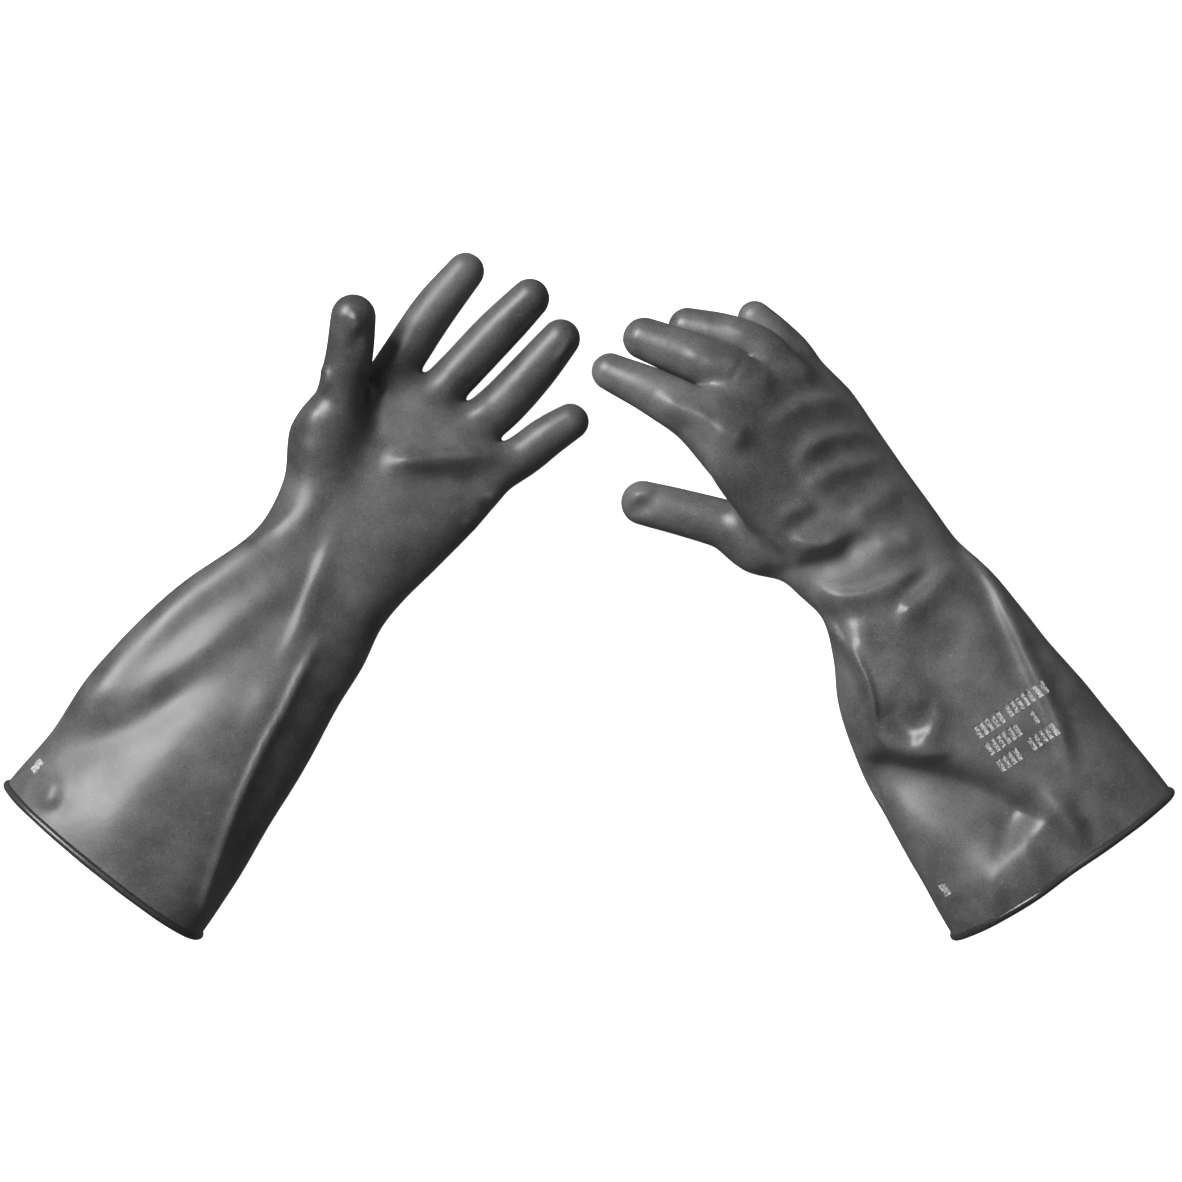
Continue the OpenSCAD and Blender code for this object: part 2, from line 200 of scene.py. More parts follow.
# Folds: points along the crest, height (a hollow is negative), width on the right of the way that
# the points go and on its left, length of the fading ends.
FOLDS = {
    "left": (
        # the cuff's long folds, from the thumb edge across
        (((-30, 40), (-32, 22), (-35, 6), (-40, -12), (-46, -28), (-52, -44), (-57, -60), (-60, -78),
          (-62, -98), (-63, -122), (-63, -150), (-61, -180)), 9.6, 4.5, 11.5, 66),
        (((-5, 14), (-9, -4), (-14, -20), (-20, -38), (-25, -60), (-32, -88), (-39, -112),
          (-45, -130), (-51, -148)), 3.2, 9.0, 7.0, 40),
        (((-12, -64), (-22, -92), (-32, -116), (-43, -138), (-50, -156), (-51, -184)), -2.2, 9.0, 9.0, 36),
        (((4, -66), (0, -96), (-4, -126), (-5, -158), (0, -197)), 1.8, 11.0, 15.0, 34),
        (((-8, 32), (-5, 20), (0, 4), (5, -14), (9, -26), (12, -40), (9, -50)), 1.9, 2.8, 5.0, 26),
        (((16, -6), (19, -16), (23, -30), (27, -49), (31, -67), (34, -86), (39, -109), (45, -132),
          (51, -151), (58, -171), (69, -197)), 2.8, 15.0, 5.0, 60),
        (((19, -16), (23, -30), (27, -49), (31, -67), (34, -86), (39, -109), (45, -132),
          (51, -151), (58, -171), (69, -197)), 1.7, 2.2, 2.2, 30),
        (((18, -50), (20, -70), (23, -92)), 1.0, 6.0, 7.0, 22),
        (((-45, -178), (-43, -182)), 2.4, 5.0, 4.0, 0),
        (((-36, -183), (-36, -185)), -0.7, 4.0, 4.0, 0),
        # the palm
        (((48, 126), (43, 122), (34, 114), (25, 106), (9, 92), (-3, 81), (-12, 72)), 4.4, 4.2, 5.0, 20),
        (((54, 108), (42, 98), (30, 90), (16, 82), (4, 74)), -3.6, 8.0, 8.0, 26),
        (((-50, 119), (-44, 110), (-36, 100), (-28, 91), (-18, 81)), -1.2, 3.0, 3.4, 16),
        (((-38, 146), (-37, 130), (-36, 114)), 1.2, 5.0, 5.0, 14),
        (((-10, 144), (-8, 130), (-8, 120)), 1.0, 5.0, 5.0, 12),
        (((18, 142), (16, 130), (18, 122)), 1.2, 5.0, 5.0, 12),
        (((-72, 134), (-67, 130), (-61, 122)), 1.6, 2.2, 2.6, 7),
        (((-65, 128), (-60, 120), (-57, 112)), -1.2, 3.0, 3.0, 8),
        (((-72, 96), (-65, 96), (-61, 91), (-63, 84)), 1.7, 2.0, 2.2, 6),
        (((-69, 92), (-65, 88), (-67, 83)), -1.4, 2.2, 2.2, 4),
        (((57, 98), (51, 96), (46, 99)), 1.4, 2.2, 2.2, 5),
        (((57, 92), (51, 91)), -1.4, 2.8, 2.8, 0),
        (((57, 78), (50, 77), (44, 79)), 1.2, 2.2, 2.2, 5),
        (((-60, 86), (-59, 74), (-54, 60)), 1.4, 5.0, 6.0, 14),
        (((-43, 80), (-38, 77)), 0.9, 6.0, 6.0, 0),
        (((-20, 48), (-17, 32), (-17, 14)), -1.4, 4.0, 6.0, 16),
        (((30, 196), (33, 188), (33, 176)), 1.3, 1.8, 2.0, 8),
    ),
    "right": (
        # the wrist and the cuff
        (((-43, 8), (-42, -14), (-43, -34), (-47, -48), (-52, -58), (-58, -66)), 3.6, 2.8, 2.0, 18),
        (((-36, 2), (-37, -14), (-39, -28), (-42, -40), (-46, -51), (-51, -61), (-54, -70), (-53, -80),
          (-48, -88), (-40, -92), (-32, -95), (-22, -98)), 4.6, 2.6, 7.0, 24),
        (((-46, -82), (-38, -83), (-29, -81), (-20, -73), (-14, -68)), 1.6, 4.5, 2.6, 12),
        (((-42, -62), (-41, -72)), -1.6, 4.0, 4.0, 0),
        (((-30, -50), (-28, -60)), 3.4, 7.5, 7.5, 0),
        (((-76, -74), (-66, -83), (-54, -93), (-42, -105), (-31, -118), (-21, -134), (-13, -150),
          (-9, -162)), -9.5, 16.0, 6.0, 20),
        (((-70, -164), (-50, -178), (-30, -188), (-10, -192)), 5.0, 17.0, 17.0, 24),
        (((45, 0), (46, -16), (45, -37), (42, -50), (39, -67), (36, -82), (33, -100), (29, -118),
          (24, -134), (18, -152)), 3.4, 2.4, 4.5, 32),
        (((36, -22), (36, -40), (32, -60), (27, -84), (22, -106)), -1.0, 5.0, 5.0, 30),
        (((1, -138), (4, -156), (4, -172), (2, -188)), 3.2, 4.0, 5.0, 20),
        (((14, -146), (13, -166), (14, -188)), -1.6, 5.0, 5.0, 18),
        (((-40, 24), (-36, 15), (-30, 8), (-19, 2), (-3, -2), (12, -4), (22, -3)), 2.8, 6.0, 2.8, 22),
        (((-50, 33), (-34, 31), (-20, 29), (-6, 27), (8, 22)), -5.0, 8.0, 4.0, 24),
        (((8, 17), (18, 13)), 1.8, 5.0, 4.0, 0),
        (((-8, -9), (8, -10), (26, -9)), -2.2, 4.5, 4.5, 16),
        (((-2, -19), (24, -16)), 3.0, 6.0, 3.4, 0),
        (((-33, -22), (-28, -34)), 1.4, 8.0, 8.0, 0),
        (((-8, -42), (10, -48)), -1.2, 7.0, 7.0, 0),
        (((12, -60), (18, -70)), 1.2, 6.0, 6.0, 0),
        # the back of the hand
        (((-40, 54), (-33, 47), (-27, 41), (-20, 35), (-6, 30)), 3.2, 4.0, 3.2, 16),
        (((8, 41), (24, 40)), 2.2, 6.0, 3.6, 0),
        (((-28, 63), (-20, 61)), 1.5, 4.5, 3.2, 0),
        (((-22, 54), (-16, 53)), -0.9, 4.0, 4.0, 0),
        (((-20, 66), (-6, 69), (10, 67), (25, 61), (41, 54)), 3.2, 5.0, 2.7, 26),
        (((-14, 79), (0, 86), (14, 85), (27, 79), (41, 66)), 3.6, 5.0, 2.8, 26),
        (((-14, 106), (6, 109), (24, 104), (33, 96), (40, 86)), 3.2, 6.0, 3.0, 26),
        (((6, 133), (14, 129), (24, 123)), 2.2, 5.0, 4.0, 0),
        (((-40, 96), (-42, 72), (-44, 52)), -1.2, 5.0, 5.0, 20),
        (((-33, 119), (-30, 114)), 4.6, 6.0, 6.0, 0),
        (((-50, 160), (-48, 148), (-42, 138), (-37, 130), (-33, 120)), 2.2, 4.5, 3.0, 14),
        (((-48, 131), (-46, 122)), -1.8, 5.0, 5.0, 0),
        (((-23, 161), (-20, 156)), 1.2, 5.0, 5.0, 0),
        (((8, 166), (9, 161)), 0.9, 4.0, 4.0, 0),
        (((-12, 142), (-4, 145)), -0.6, 1.6, 1.6, 0),
        (((-97, 119), (-88, 117), (-81, 112)), 1.8, 2.4, 2.6, 7),
        (((-97, 112), (-91, 110)), -1.8, 3.4, 3.4, 0),
        (((-83, 79), (-77, 74), (-72, 74)), 1.5, 2.0, 2.0, 5),
        (((-54, 39), (-48, 36)), -1.8, 3.4, 3.4, 0),
    ),
}
# How strongly all the folds of a glove stand out.
FOLD_GAIN = {"left": 1.1, "right": 1.35}
# Folds show where the skin faces up: they grow to their full height between these two values of
# the z of the skin's normal.
FACES_UP = (-0.1, 0.35)
# How strongly a fold's lift leans from the skin's normal towards straight up.
STRAIGHT_UP = 2
# Slow unevenness of the whole skin.
WAVE_SEED = {"left": 11, "right": 23}
WAVE_SIZES = (60, 38, 24)
WAVE_HEIGHT = 0.28
# Plain blocks printed where the real glove has print: y of each row, then how far each word
# starts from the rows' left end and how long it is.
LABEL_X = -10.5
LABEL_ROWS = (
    (-100, ((0, 18.5), (20.7, 18.5), (40.5, 8))),
    (-111, ((0, 22.5), (30.5, 4))),
    (-122, ((0, 15), (21, 18.5))),
)
LETTER_PITCH = 3.7
LETTER_LENGTH = 2.7
LETTER_HEIGHT = 7.8
# The size mark near the mouth: x and y of its corner, length, height.
SIZE_MARK = {"left": (-63.5, -180, 4.5, 8), "right": (-74, -164, 4, 8)}
# How far the ink stands above the skin and goes below it, and the spacing of its points.
INK_ABOVE = 0.16
INK_BELOW = 0.25
INK_SPACING = 1.2
# A height above everything, from where the skin is looked for.
ABOVE_ALL = 200
# Most values of a noise lie between these two.
NOISE_BAND = (0.35, 0.65)
# The studio, in metres: a floor, a dim white world and a camera that looks straight down.
FLOOR_HALF_M = 30.0
WORLD_STRENGTH = 0.12
CAMERA_M = (0.0017, 0.005, 1.5)
LENS_MM = 79.4
SENSOR_MM = 36


def hermite(ys, values, y):
    """A smooth curve through the section values."""
    slopes = np.gradient(values, ys)
    i = np.clip(np.searchsorted(ys, y) - 1, 0, len(ys) - 2)
    step = ys[i + 1] - ys[i]
    t = np.clip((y - ys[i]) / step, 0, 1)
    a = values[i] * (1 + 2 * t) * (1 - t) ** 2 + slopes[i] * step * t * (1 - t) ** 2
    b = values[i + 1] * t * t * (3 - 2 * t) + slopes[i + 1] * step * t * t * (t - 1)
    return a + b


def smooth_min(a, b, k):
    """The smaller of two fields, rounded where they are closer than k."""
    h = np.maximum(k - np.abs(a - b), 0) / k
    return np.minimum(a, b) - h * h * k / 4


def smooth_max(a, b, k):
    """The larger of two fields, rounded in the same way."""
    return -smooth_min(-a, -b, k)


def smoothstep(lo, hi, x):
    """Rises smoothly from 0 at lo to 1 at hi."""
    t = np.clip((x - lo) / (hi - lo), 0, 1)
    return t * t * (3 - 2 * t)


def round_cone(p, a, ra, b, rb):
    """Distance to a rod from a to b whose radius runs from ra to rb."""
    a, b = np.array(a, float), np.array(b, float)
    ba = b - a
    h = np.clip((p - a) @ ba / (ba @ ba), 0, 1)
    return np.linalg.norm(p - a - h[:, None] * ba, axis=1) - (ra + (rb - ra) * h)


def smooth_line(points, spacing=1.5):
    """Close points along a smooth curve through these."""
    p = np.array(points, float)
    p = np.vstack([2 * p[0] - p[1], p, 2 * p[-1] - p[-2]])
    out = []
    for i in range(1, len(p) - 2):
        n = max(2, int(np.linalg.norm(p[i + 1] - p[i]) / spacing))
        t = np.linspace(0, 1, n, endpoint=False)[:, None]
        a, b, c, d = p[i - 1 : i + 3]
        cubic = 2 * b + (c - a) * t + (2 * a - 5 * b + 4 * c - d) * t**2
        cubic = cubic + (3 * b - a - 3 * c + d) * t**3
        out.append(0.5 * cubic)
    out.append(p[-2:-1])
    return np.vstack(out)


class Glove:
    """One glove's shape as a field, in its own axes."""

    def __init__(self, side):
        self.side = side
        wrist = JOINTS[f"{side}_wrist"]
        flip = 1 if side == "left" else -1
        self.x_axis = np.array(wrist["axis"][:2], float) * flip
        self.y_axis = np.array([-self.x_axis[1], self.x_axis[0]])
        self.origin = np.array(wrist["pos_m"][:2], float) / MM
        table = np.array(SECTIONS[side], float)
        self.ys, self.sections = table[:, 0], table[:, 1:].T
        self.rim = self.ys[0]
        self.paths, self.balls = {}, {}
        for d in DIGITS:
            palm, root_off, mid_off, tip = ENDS[side][d]
            root = self.local(JOINTS[f"{side}_{d}_root"]["pos_m"]) + root_off
            mid = self.local(JOINTS[f"{side}_{d}_mid"]["pos_m"]) + mid_off
            self.paths[d] = (np.array(palm, float), root, mid, np.array(tip, float))
            balls = np.column_stack([self.paths[d], RADII[side][d]])
            self.balls[d] = smooth_line(balls, BALL_SPACING)

    def local(self, metres):
        """A point of the frame in the glove's own axes."""
        p = np.array(metres, float) / MM
        flat = p[:2] - self.origin
        return np.array([flat @ self.x_axis, flat @ self.y_axis, p[2]])

    def world(self, p):
        """Points in the row frame, in metres."""
        p = np.atleast_2d(p)
        flat = self.origin + p[:, :1] * self.x_axis + p[:, 1:2] * self.y_axis
        return np.column_stack([flat, p[:, 2]]) * MM

    def world_dir(self, n):
        """Directions in the row frame."""
        flat = n[:, :1] * self.x_axis + n[:, 1:2] * self.y_axis
        return np.column_stack([flat, n[:, 2]])

    def tube(self, p):
        """The cuff, wrist and palm as one flattened tube."""
        cx, a, cz, b, roll = (hermite(self.ys, v, p[:, 1]) for v in self.sections)
        x, z = p[:, 0] - cx, p[:, 2] - cz
        c, s = np.cos(np.radians(roll)), np.sin(np.radians(roll))
        u, v = x * c - z * s, x * s + z * c
        n = SQUARENESS
        rho = (np.abs(u / a) ** n + np.abs(v / b) ** n) ** (1 / n)
        rho = np.maximum(rho, 0.02)
        return np.hypot(u, v) * (1 - 1 / rho)

    def digit(self, name, p):
        """One digit as a row of balls along a smooth curve, joined up."""
        balls = self.balls[name]
        low, high = balls[:, :3].min(0) - FAR, balls[:, :3].max(0) + FAR
        near = np.all((p > low) & (p < high), axis=1)
        q = p[near]
        best = np.full(len(q), FAR)
        for a, b in zip(balls[:-1], balls[1:]):
            best = np.minimum(best, round_cone(q, a[:3], a[3], b[:3], b[3]))
        out = np.full(len(p), FAR)
        out[near] = best
        return out

    def field(self, p):
        """Negative inside the glove, about the distance in mm near its surface."""
        crest, x0, fall = KNUCKLE_LINE[self.side]
        f = self.tube(p)
        f = smooth_max(f, p[:, 1] - crest + fall * (p[:, 0] - x0) ** 2, KNUCKLE_BLEND)
        hand = p[:, 1] > HAND_FROM_Y
        q = p[hand]
        g = f[hand]
        for a, ra, b, rb in SWELLS[self.side]:
            g = smooth_min(g, round_cone(q, a, ra, b, rb), SWELL_BLEND)
        ds = {d: self.digit(d, q) for d in FINGERS}
        _, root, mid, _ = self.paths["thumb"]
        along = (q - root) @ (mid - root) / np.linalg.norm(mid - root)
        wide, close = THUMB_BLEND
        join = wide - (wide - close) * smoothstep(*THUMB_BLEND_SPAN, along)
        g = smooth_min(g, self.digit("thumb", q), join)
        best = g
        for name in FINGERS:
            d = ds[name]
            for other in FINGERS:
                if other != name:
                    d = np.maximum(d, (d - ds[other]) / 2 + FINGER_GAP)
            best = np.minimum(best, smooth_min(g, d, WEB_BLEND))
        f[hand] = best
        return smooth_max(f, self.lowest(p[:, 1]) - p[:, 2], FLOOR_BLEND)

    def lowest(self, y):
        """The least height of the skin: the floor's, and a little more at the mouth."""
        return MOUTH_LIFT * (1 - smoothstep(self.rim, self.rim + MOUTH_LIFT_LENGTH, y))

    def gradient(self, p, e=0.15):
        """The field's slope, measured over steps of e."""
        g = np.empty_like(p)
        for axis in range(3):
            step = np.zeros(3)
            step[axis] = e
            g[:, axis] = (self.field(p + step) - self.field(p - step)) / (2 * e)
        return g


def corner_table():
    """For each of the 256 corner signs, which corners inside the surface hang together."""
    corners = [(x, y, z) for x in (0, 1) for y in (0, 1) for z in (0, 1)]
    table = np.zeros((256, 8), int)
    for signs in range(256):
        inside = [i for i in range(8) if signs >> i & 1]
        group = {}
        for i in inside:
            if i in group:
                continue
            number = len(set(group.values()))
            todo = [i]
            while todo:
                c = todo.pop()
                group[c] = number
                for o in inside:
                    near = sum(abs(s - t) for s, t in zip(corners[c], corners[o])) == 1
                    if near and o not in group:
                        todo.append(o)
        for c, number in group.items():
            table[signs, c] = number
    return table


def surface_net(values, low, spacing):
    """Quads of the zero surface of a grid of values: one point in each crossed cell."""
    inside = values < 0
    shape = values.shape
    signs = np.zeros([s - 1 for s in shape], int)
    for i in range(8):
        x, y, z = i >> 2 & 1, i >> 1 & 1, i & 1
        cut = inside[
            x : shape[0] - 1 + x, y : shape[1] - 1 + y, z : shape[2] - 1 + z
        ]
        signs |= cut.astype(int) << i
    groups = corner_table()
    keys, points = [], []
    for axis in range(3):
        b, c = (axis + 1) % 3, (axis + 2) % 3
        lo = [slice(None)] * 3
        hi = [slice(None)] * 3
        lo[axis], hi[axis] = slice(0, -1), slice(1, None)
        crossed = inside[tuple(lo)] != inside[tuple(hi)]
        at = np.argwhere(crossed)
        keep = (at[:, b] > 0) & (at[:, c] > 0)
        keep &= (at[:, b] < shape[b] - 1) & (at[:, c] < shape[c] - 1)
        at = at[keep]
        end = at.copy()
        end[:, axis] += 1
        v0, v1 = values[tuple(at.T)], values[tuple(end.T)]
        where = at.astype(float)
        where[:, axis] += v0 / (v0 - v1)
        first_in = v0 < 0
        inner = np.where(first_in[:, None], at, end)
        quad = np.empty((len(at), 4), int)
        for n, (db, dc) in enumerate(((-1, -1), (0, -1), (0, 0), (-1, 0))):
            cell = at.copy()
            cell[:, b] += db
            cell[:, c] += dc
            off = inner - cell
            corner = off[:, 0] << 2 | off[:, 1] << 1 | off[:, 2]
            group = groups[signs[tuple(cell.T)], corner]
            flat = (cell[:, 0] * shape[1] + cell[:, 1]) * shape[2] + cell[:, 2]
            quad[:, n] = flat * 4 + group
        quad[~first_in] = quad[~first_in][:, ::-1]
        keys.append(quad)
        points.append(where)
    keys, points = np.concatenate(keys), np.concatenate(points)
    used, quads = np.unique(keys, return_inverse=True)
    quads = quads.reshape(-1, 4)
    count = np.bincount(quads.ravel(), minlength=len(used))
    verts = np.column_stack(
        [
            np.bincount(quads.ravel(), np.repeat(points[:, i], 4), len(used)) / count
            for i in range(3)
        ]
    )
    layer = used // 4 // shape[2] % shape[1]
    return low + verts * spacing, quads, layer


def neighbour_mean(values, quads, count):
    """The mean of each point's neighbours along the edges."""
    total = np.zeros_like(values)
    degree = np.zeros(count)
    for i in range(4):
        a, b = quads[:, i], quads[:, (i + 1) % 4]
        for s, t in ((a, b), (b, a)):
            for axis in range(3):
                total[:, axis] += np.bincount(s, values[t, axis], count)
            degree += np.bincount(s, minlength=count)
    return total / degree[:, None]


def vertex_normals(verts, quads):
    """The skin's direction at each point, weighted by the size of the quads round it."""
    a = verts[quads[:, 2]] - verts[quads[:, 0]]
    b = verts[quads[:, 3]] - verts[quads[:, 1]]
    face = np.cross(a, b)
    n = np.zeros_like(verts)
    for i in range(4):
        for axis in range(3):
            n[:, axis] += np.bincount(quads[:, i], face[:, axis], len(verts))
    return n / np.maximum(np.linalg.norm(n, axis=1), 1e-9)[:, None]


def fold_height(fold, xy):
    """How far a fold lifts each point, in mm."""
    points, height, near, far, fade = fold
    line = smooth_line(points)
    # further out than this, nothing is left of the fold
    reach = 3.2 * max(near, far)
    lo, hi = line.min(0) - reach, line.max(0) + reach
    close = np.all((xy > lo) & (xy < hi), axis=1)
    out = np.zeros(len(xy))
    q = xy[close]
    if not len(q):
        return out
    ways = np.diff(line, axis=0)
    lengths = np.linalg.norm(ways, axis=1)
    ways /= lengths[:, None]
    run = np.concatenate([[0], np.cumsum(lengths)])
    d = np.full(len(q), np.inf)
    side, s = np.zeros(len(q)), np.zeros(len(q))
    for start, way, length, before in zip(line, ways, lengths, run):
        off = q - start
        t = np.clip(off @ way, 0, length)
        off -= t[:, None] * way
        gap = np.hypot(off[:, 0], off[:, 1])
        closer = gap < d
        d[closer] = gap[closer]
        side[closer] = (way[0] * off[:, 1] - way[1] * off[:, 0])[closer]
        s[closer] = before + t[closer]
    # one side's width runs into the other's round the ends and close to the crest
    width = near + (far - near) * smoothstep(-1.0, 1.0, side / np.maximum(d, 0.8))
    out[close] = height * np.exp(-0.5 * (d / width) ** 2)
    if fade:
        fade = min(fade, run[-1] / 2)
        out[close] *= smoothstep(0, fade, s) * smoothstep(0, fade, run[-1] - s)
    return out


def waves(p, seed, sizes, height):
    """A gentle unevenness made of a few slow waves."""
    rng = np.random.default_rng(seed)
    out = np.zeros(len(p))
    for size in sizes:
        for _ in range(3):
            way = rng.normal(size=3)
            way *= 2 * math.pi / size / np.linalg.norm(way)
            out += np.sin(p @ way + rng.uniform(0, 2 * math.pi)) * size / sizes[0]
    return out * height / (3 * len(sizes)) ** 0.5


def evened(verts, quads, on_rim, share):
    """The points moved towards the middle of their neighbours, except on the rim."""
    even = neighbour_mean(verts, quads, len(verts))
    return np.where(on_rim[:, None], verts, verts + (even - verts) * share)


def onto_surface(glove, verts, longest=1.0):
    """The points moved onto the zero surface of the field, at most this far."""
    g = glove.gradient(verts)
    size = np.maximum((g * g).sum(1), 0.05)
    move = -(glove.field(verts) / size)[:, None] * g
    length = np.linalg.norm(move, axis=1)
    move *= np.minimum(1, longest / np.maximum(length, 1e-9))[:, None]
    return verts + move


def skin(glove):
    """The whole outer skin: points, quads and which points are on the mouth's rim."""
    low = np.array([BOX_X[0], glove.rim - (RIM_LAYER + 0.5) * SPACING, BOX_Z[0]])
    high = np.array([BOX_X[1], BOX_TOP_Y, BOX_Z[1]])
    steps = np.ceil((high - low) / SPACING).astype(int) + 1
    axes = [low[i] + np.arange(steps[i]) * SPACING for i in range(3)]
    grid = np.stack(np.meshgrid(*axes, indexing="ij"), -1).reshape(-1, 3)
    values = glove.field(grid).reshape(steps)
    verts, quads, layer = surface_net(values, low, SPACING)
    keep = (layer[quads] >= RIM_LAYER).all(1)
    quads = quads[keep]
    used, quads = np.unique(quads, return_inverse=True)
    quads = quads.reshape(-1, 4)
    verts, layer = verts[used], layer[used]
    on_rim = layer == RIM_LAYER
    fitting_turns, moves_a_turn, softening_turns = 3, 2, 6
    for turn in range(fitting_turns):
        if turn:
            verts = evened(verts, quads, on_rim, share=0.6)
        for _ in range(moves_a_turn):
            verts = onto_surface(glove, verts)
        verts[on_rim, 1] = glove.rim
    for _ in range(softening_turns):
        verts = evened(verts, quads, on_rim, share=0.5)
    return verts, quads, on_rim


def detail(glove, verts, quads):
    """Adds the folds on the side that faces up, and the slow unevenness all over."""
    n = vertex_normals(verts, quads)
    top = smoothstep(*FACES_UP, n[:, 2])
    lift = np.zeros(len(verts))
    for fold in FOLDS[glove.side]:
        lift += FOLD_GAIN[glove.side] * fold_height(fold, verts[:, :2])
    up = n + (0, 0, STRAIGHT_UP)
    up /= np.linalg.norm(up, axis=1)[:, None]
    verts = verts + up * (lift * top)[:, None]
    lift = waves(verts, WAVE_SEED[glove.side], WAVE_SIZES, WAVE_HEIGHT)
    verts = verts + n * lift[:, None]
    verts[:, 2] = np.maximum(verts[:, 2], glove.lowest(verts[:, 1]))
    return verts


def piece_numbers(glove, verts):
    """The number of the piece that each point belongs to."""
    numbers = np.full(len(verts), GAUNTLET)
    numbers[verts[:, 1] > CUFF_SPLIT_Y] = HAND
    ds = np.stack([glove.digit(d, verts) for d in DIGITS])
    nearest = ds.argmin(0)
    for i, d in enumerate(DIGITS):
        _, root, mid, _ = glove.paths[d]
        length = np.linalg.norm(mid - root)
        s = (verts - root) @ ((mid - root) / length)
        own = (nearest == i) & (ds[i] < DIGIT_REACH) & (s > ROOT_CUT[glove.side][d])
        numbers[own] = base_number(i)
        numbers[own & (s > MIDDLE_CUT * length)] = tip_number(i)
    return numbers


def base_number(i):
    return HAND + 1 + 2 * i


def tip_number(i):
    return HAND + 2 + 2 * i


def closed_piece(glove, name, outer, inner, normals, quads, material):
    """A closed skin of these quads: outside, inside and the edge between."""
    used, q = np.unique(quads, return_inverse=True)
    q = q.reshape(-1, 4)
    n = len(used)
    edges = np.concatenate([q[:, [i, (i + 1) % 4]] for i in range(4)])
    key = edges[:, 0] * n + edges[:, 1]
    back = edges[:, 1] * n + edges[:, 0]
    rim = edges[~np.isin(key, back)]
    wall = np.column_stack([rim[:, 1], rim[:, 0], rim[:, 0] + n, rim[:, 1] + n])
    faces = np.concatenate([q, q[:, ::-1] + n, wall])
    co = np.concatenate([outer[used], inner[used]])
    nv = normals[used]
    wall_n = np.cross(co[wall[:, 1]] - co[wall[:, 0]], co[wall[:, 3]] - co[wall[:, 0]])
    wall_n /= np.maximum(np.linalg.norm(wall_n, axis=1), 1e-9)[:, None]
    corner = np.concatenate(
        [nv[q].reshape(-1, 3), -nv[q[:, ::-1]].reshape(-1, 3), np.repeat(wall_n, 4, axis=0)]
    )
    return mesh_piece(name, glove.world(co), faces, material, glove.world_dir(corner))


def mesh_piece(name, co, faces, material, corner_normals=None):
    """A smooth-shaded object made of these faces."""
    mesh = bpy.data.meshes.new(name)
    mesh.vertices.add(len(co))
    mesh.vertices.foreach_set("co", np.asarray(co, np.float32).ravel())
    mesh.loops.add(faces.size)
    mesh.loops.foreach_set("vertex_index", faces.ravel().astype(np.int32))
    mesh.polygons.add(len(faces))
    width = faces.shape[1]
    starts = np.arange(0, faces.size, width, dtype=np.int32)
    mesh.polygons.foreach_set("loop_start", starts)
    mesh.polygons.foreach_set("use_smooth", np.ones(len(faces), bool))
    mesh.update(calc_edges=True)
    mesh.validate()
    if corner_normals is not None and len(mesh.loops) == len(corner_normals):
        mesh.normals_split_custom_set(corner_normals.tolist())
    mesh.materials.append(material)
    o = bpy.data.objects.new(name, mesh)
    bpy.context.scene.collection.objects.link(o)
    return o


